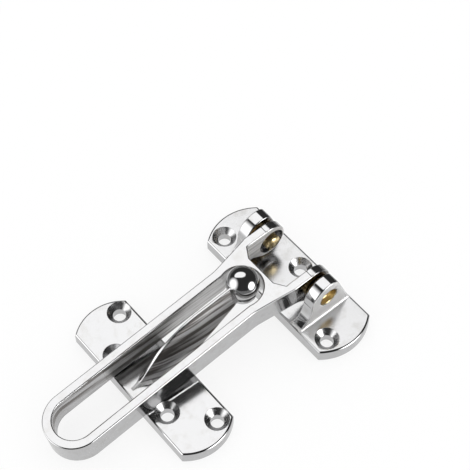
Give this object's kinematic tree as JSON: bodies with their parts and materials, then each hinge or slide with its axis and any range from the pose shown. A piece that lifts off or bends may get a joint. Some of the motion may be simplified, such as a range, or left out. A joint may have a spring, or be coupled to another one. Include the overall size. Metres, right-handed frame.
{
  "type": "swing bar door guard",
  "caption": "Door guard: a looped swing bar turns on pins in an eared hinge plate and drops over the ball horn of a keeper plate.",
  "frame": {"origin": "middle of the hinge plate's back face", "axes": "+X from the hinge plate towards the bar's loop, +Y along the hinge pins, +Z away from the door"},
  "size_m": [0.1165, 0.07, 0.0288],
  "materials": {
    "chrome": "polished chrome",
    "brass": "polished brass"
  },
  "bodies": {
    "base": {"hinge_plate": "chrome", "keeper_plate": "chrome", "left_pin": "brass", "right_pin": "brass", "left_washer": "brass", "right_washer": "brass"},
    "bar": {"swing_bar": "chrome"}
  },
  "joints": [
    {"name": "bar_swing", "type": "hinge", "parent": "base", "child": "bar", "pos_m": [-0.00135, 0, 0.0149], "axis": [0, -1, 0], "range_deg": [0, 180]}
  ]
}
